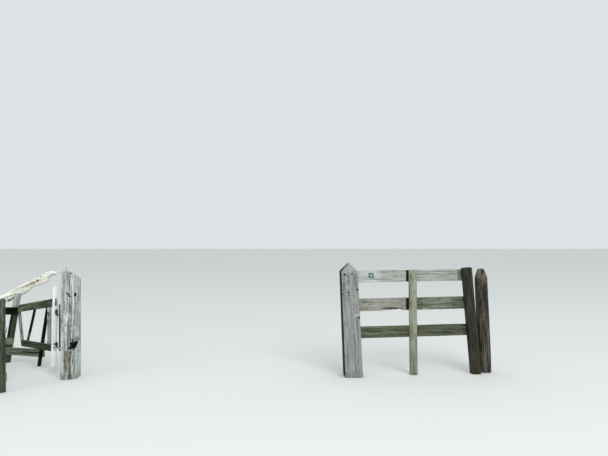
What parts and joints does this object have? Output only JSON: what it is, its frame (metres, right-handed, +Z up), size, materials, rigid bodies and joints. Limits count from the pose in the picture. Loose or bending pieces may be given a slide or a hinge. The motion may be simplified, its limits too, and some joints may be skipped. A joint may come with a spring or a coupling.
{
  "type": "kissing gate with its gateposts",
  "caption": "Weathered wooden kissing gate: a sagging leaf on an old gatepost in a railed enclosure, beside an open gateway with a pointed post and rail fence.",
  "frame": {"origin": "centre of the foot of the old gatepost, at ground level", "axes": "+X along the fence line from the old gatepost toward the pointed gatepost, +Y away from the viewer, +Z up"},
  "size_m": [6.644, 1.7444, 1.2829],
  "materials": {
    "weathered_oak": "bleached, cracked grey oak",
    "lichened_oak": "grey-green weathered oak",
    "white_stile_paint": "worn white paint on timber",
    "olive_timber": "olive-brown weathered timber",
    "dark_timber": "wet dark old timber",
    "enclosure_timber": "grey-brown weathered timber",
    "pale_timber": "pale grey weathered timber",
    "bleached_pole": "bare bleached wood with brown heart",
    "gatepost_timber": "warm grey weathered timber",
    "fence_timber": "silver-grey weathered timber",
    "half_round_timber": "beige-grey weathered timber",
    "old_round_timber": "reddish-brown old timber",
    "rusted_iron": "rusted wrought iron",
    "galvanised_wire": "dull galvanised wire"
  },
  "bodies": {
    "gateway": {"old_gate_post": "weathered_oak", "hinge_batten": "lichened_oak", "far_clapping_post": "dark_timber", "rear_upper_rail": "dark_timber", "fence_end_post": "dark_timber", "rear_corner_post": "enclosure_timber", "near_corner_post": "enclosure_timber", "near_post": "enclosure_timber", "near_clapping_post": "enclosure_timber", "far_lower_rail": "enclosure_timber", "rear_lower_rail": "enclosure_timber", "side_upper_rail": "enclosure_timber", "side_lower_rail": "enclosure_timber", "corner_upper_rail": "enclosure_timber", "corner_lower_rail": "enclosure_timber", "near_lower_rail": "enclosure_timber", "rear_post": "pale_timber", "near_upper_rail": "pale_timber", "rough_pole": "bleached_pole", "pointed_gate_post": "gatepost_timber", "fence_top_rail": "fence_timber", "fence_middle_rail": "fence_timber", "fence_bottom_rail": "fence_timber", "half_round_post": "half_round_timber", "old_end_post": "old_round_timber", "upper_hook": "rusted_iron", "lower_hook": "rusted_iron", "tie_wire": "galvanised_wire"},
    "leaf": {"heel_stile": "white_stile_paint", "leaf_top_rail": "olive_timber", "leaf_bottom_rail": "olive_timber", "free_stile": "lichened_oak", "leaf_brace": "dark_timber", "leaf_pale": "white_stile_paint", "upper_eye": "rusted_iron", "lower_eye": "rusted_iron", "leaf_wire": "galvanised_wire"}
  },
  "joints": [
    {"name": "leaf_swing", "type": "hinge", "parent": "gateway", "child": "leaf", "pos_m": [-0.16, 0, 0.533], "axis": [0, 0, 1], "range_deg": [-8, 81]}
  ]
}
